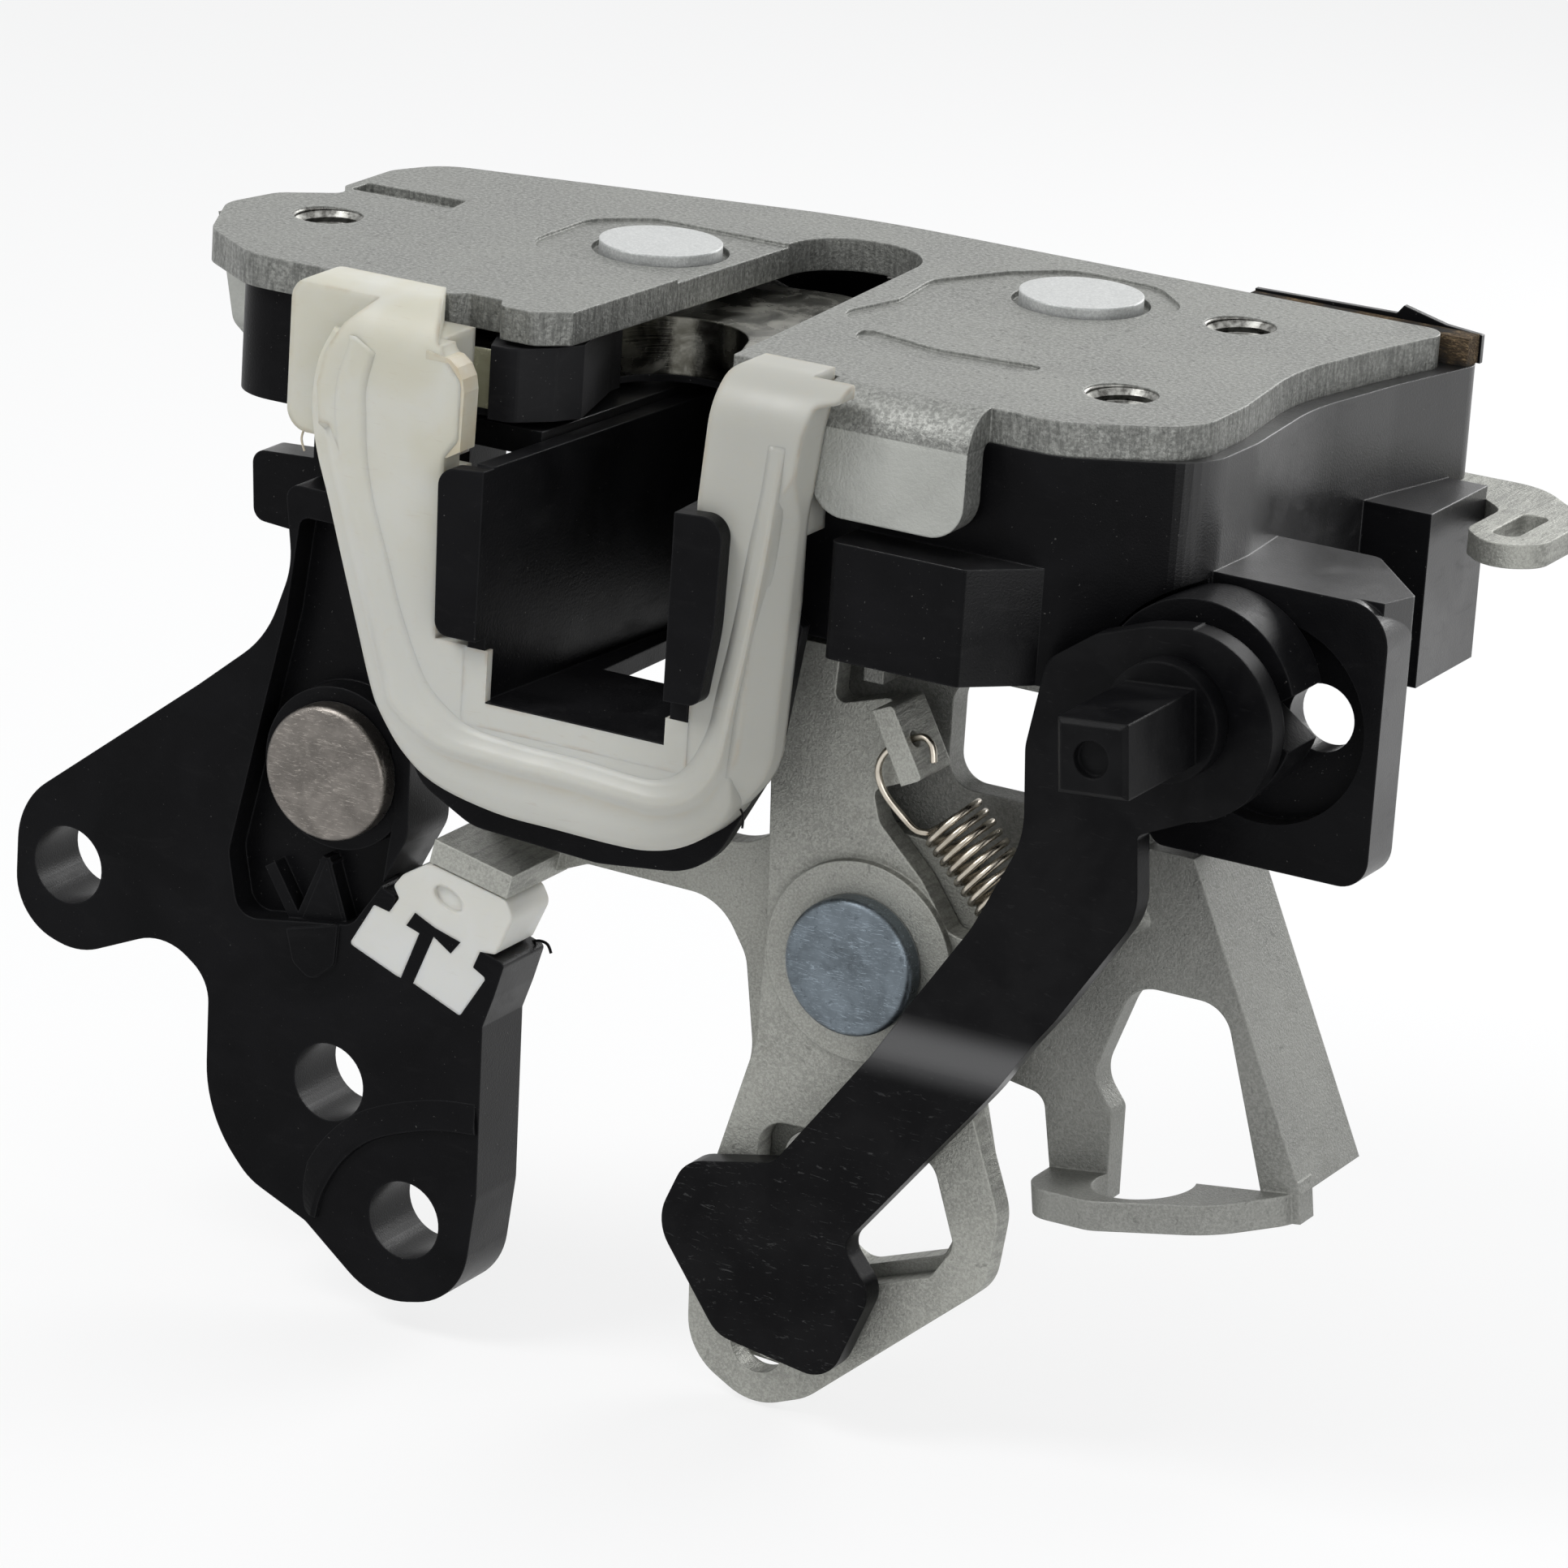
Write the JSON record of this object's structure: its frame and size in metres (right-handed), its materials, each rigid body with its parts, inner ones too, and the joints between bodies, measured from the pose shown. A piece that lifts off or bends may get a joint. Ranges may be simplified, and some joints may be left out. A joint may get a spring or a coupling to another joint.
{
  "type": "door latch actuator",
  "caption": "L-shaped vehicle door latch with a striker mouth, fork and pawl in a plastic housing, and pivoting rod, release and lock levers on a steel bracket.",
  "frame": {"origin": "axis of the left mounting thread, at the outer face of the face plate", "axes": "+Z out of the face plate towards the door's end panel; +X along the plate from that thread towards the lock shaft; +Y away from the striker mouth, into the door"},
  "size_m": [0.1208, 0.0688, 0.0902],
  "materials": {
    "plate_steel": "satin zinc plated, grained",
    "rivet_steel": "bright, lightly scratched",
    "black_plastic": "glass-filled nylon, satin with fine grain",
    "rod_lever_plastic": "moulded, satin",
    "white_nylon": "natural nylon, slightly greasy",
    "rubber_black": "matt",
    "gasket_foam": "coarse felt",
    "fork_steel": "greased",
    "lever_steel": "satin zinc plated, sandy",
    "black_coat": "dipped black, semi gloss",
    "spring_steel": "oiled music wire"
  },
  "bodies": {
    "latch_frame": {"face_plate": "plate_steel", "latch_housing": "black_plastic", "mouth_liner": "black_plastic", "striker_guard": "white_nylon", "striker_bumper": "rubber_black", "gasket_strip": "gasket_foam", "mechanism_plate": "lever_steel", "bracket_screws": "rivet_steel", "fork_rivet": "rivet_steel", "pawl_rivet": "rivet_steel", "rod_lever_rivet": "rivet_steel", "release_lever_rivet": "rivet_steel", "return_spring": "spring_steel"},
    "fork": {"fork_bolt": "fork_steel", "fork_overmould": "black_plastic"},
    "pawl_and_pull": {"pawl": "fork_steel", "pull_lever": "lever_steel"},
    "handle_lever": {"rod_lever": "rod_lever_plastic", "nylon_bumper": "white_nylon"},
    "transfer": {"transfer_lever": "lever_steel"},
    "release": {"release_lever": "lever_steel"},
    "lock": {"lock_lever": "black_coat", "lock_shaft": "black_coat", "lock_collar": "black_plastic"}
  },
  "joints": [
    {"name": "fork_turn", "type": "hinge", "parent": "latch_frame", "child": "fork", "pos_m": [0.0264, 0.0103, -0.0064], "axis": [0, 0, 1], "range_deg": [0, 68], "stiffness_Nm_per_rad": 0.03, "springref_deg": -20.05},
    {"name": "pawl_turn", "type": "hinge", "parent": "latch_frame", "child": "pawl_and_pull", "pos_m": [0.0612, 0.0196, -0.0064], "axis": [0, 0, 1], "range_deg": [0, 12]},
    {"name": "rod_lever_turn", "type": "hinge", "parent": "latch_frame", "child": "handle_lever", "pos_m": [0.0142, -0.01445, -0.0415], "axis": [0, -1, 0], "range_deg": [0, 7.2], "stiffness_Nm_per_rad": 0.08, "springref_deg": -22.92},
    {"name": "transfer_turn", "type": "hinge", "parent": "latch_frame", "child": "transfer", "pos_m": [0.0618, -0.0091, -0.0489], "axis": [0, -1, 0], "range_deg": [-4, 0]},
    {"name": "release_turn", "type": "hinge", "parent": "latch_frame", "child": "release", "pos_m": [0.0618, -0.0116, -0.0489], "axis": [0, -1, 0], "range_deg": [-4, 0], "deforming": ["return_spring"]},
    {"name": "lock_turn", "type": "hinge", "parent": "latch_frame", "child": "lock", "pos_m": [0.0899, -0.0147, -0.021], "axis": [0, -1, 0], "range_deg": [0, 8]}
  ],
  "couplings": [
    {"joint": "transfer_turn", "follows": "rod_lever_turn", "ratio": -0.555},
    {"joint": "release_turn", "follows": "rod_lever_turn", "ratio": -0.555}
  ]
}
